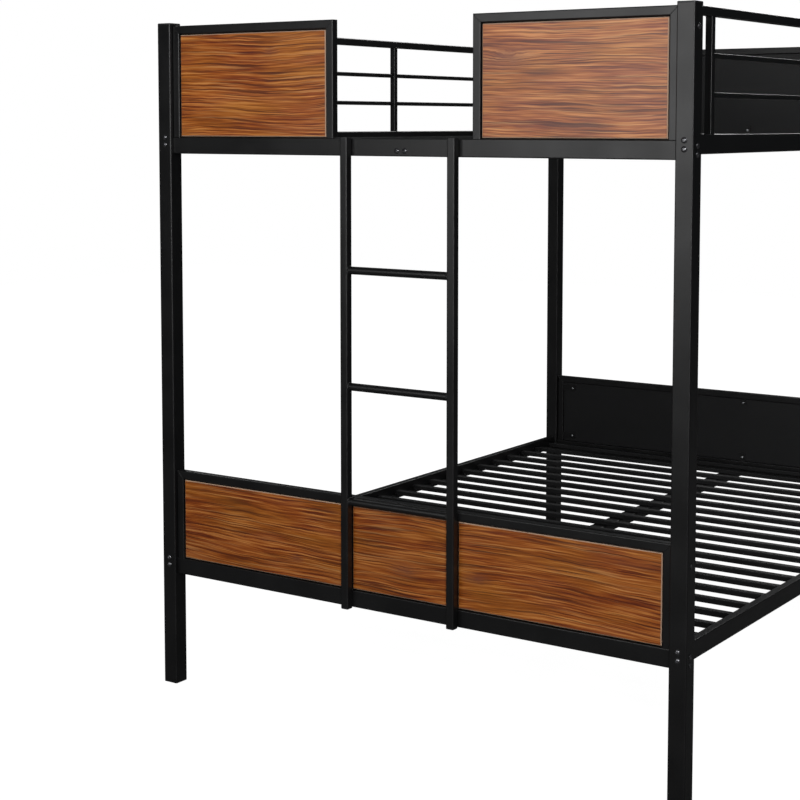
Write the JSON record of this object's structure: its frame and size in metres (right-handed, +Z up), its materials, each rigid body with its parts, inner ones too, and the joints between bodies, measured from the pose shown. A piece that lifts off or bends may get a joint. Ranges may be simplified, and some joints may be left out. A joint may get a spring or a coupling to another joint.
{
  "type": "bunk bed",
  "caption": "Full over full bunk bed of black square steel tube with wood panels in the end frames, slatted decks, guard rails and a ladder bolted to the middle of the foot end",
  "frame": {"origin": "on the floor, under the middle of the bounding box", "axes": "+Z up; +Y along the bed from the ladder end (the foot end) to the head end; +X across the bed, to the right of someone facing the ladder"},
  "size_m": [1.427, 1.9934, 1.638],
  "materials": {
    "frame_metal": "satin",
    "slat_metal": "satin",
    "wood_panel": "satin",
    "black_plastic": "matte",
    "bolt_steel": "satin",
    "zinc_steel": "satin"
  },
  "bodies": {
    "root": {"post_foot_left": "frame_metal", "post_foot_right": "frame_metal", "post_head_left": "frame_metal", "post_head_right": "frame_metal", "post_caps": "black_plastic", "post_glides": "black_plastic", "foot_lower_rail": "frame_metal", "foot_lower_top_tube": "frame_metal", "foot_lower_uprights": "frame_metal", "foot_lower_dividers": "frame_metal", "foot_lower_panel_left": "wood_panel", "foot_lower_panel_middle": "wood_panel", "foot_lower_panel_right": "wood_panel", "foot_upper_rail": "frame_metal", "foot_upper_top_tubes": "frame_metal", "foot_upper_uprights": "frame_metal", "foot_upper_panel_left": "wood_panel", "foot_upper_panel_right": "wood_panel", "head_lower_rail": "frame_metal", "head_lower_top_tube": "frame_metal", "head_lower_uprights": "frame_metal", "head_lower_panel": "wood_panel", "head_upper_rail": "frame_metal", "head_upper_top_tube": "frame_metal", "head_upper_uprights": "frame_metal", "head_upper_panel": "wood_panel", "panel_tabs": "frame_metal", "panel_screws": "zinc_steel", "side_rail_lower_left": "frame_metal", "side_rail_lower_right": "frame_metal", "side_rail_upper_left": "frame_metal", "side_rail_upper_right": "frame_metal", "slat_ledges_lower": "frame_metal", "slat_ledges_upper": "frame_metal", "centre_beam_lower": "frame_metal", "centre_beam_upper": "frame_metal", "slats_lower": "slat_metal", "slats_upper": "slat_metal", "guard_left_top_bar": "frame_metal", "guard_left_bars": "frame_metal", "guard_left_uprights": "frame_metal", "guard_right_top_bar": "frame_metal", "guard_right_bars": "frame_metal", "guard_right_uprights": "frame_metal", "ladder_stile_left": "frame_metal", "ladder_stile_right": "frame_metal", "ladder_rung_top": "frame_metal", "ladder_rung_middle": "frame_metal", "ladder_rung_bottom": "frame_metal", "ladder_plugs": "black_plastic", "rail_nut_plates": "zinc_steel", "upright_nuts": "zinc_steel", "side_rail_bolts": "bolt_steel", "end_frame_bolts": "bolt_steel", "beam_bolts": "bolt_steel", "ladder_bolts": "bolt_steel"}
  },
  "joints": []
}
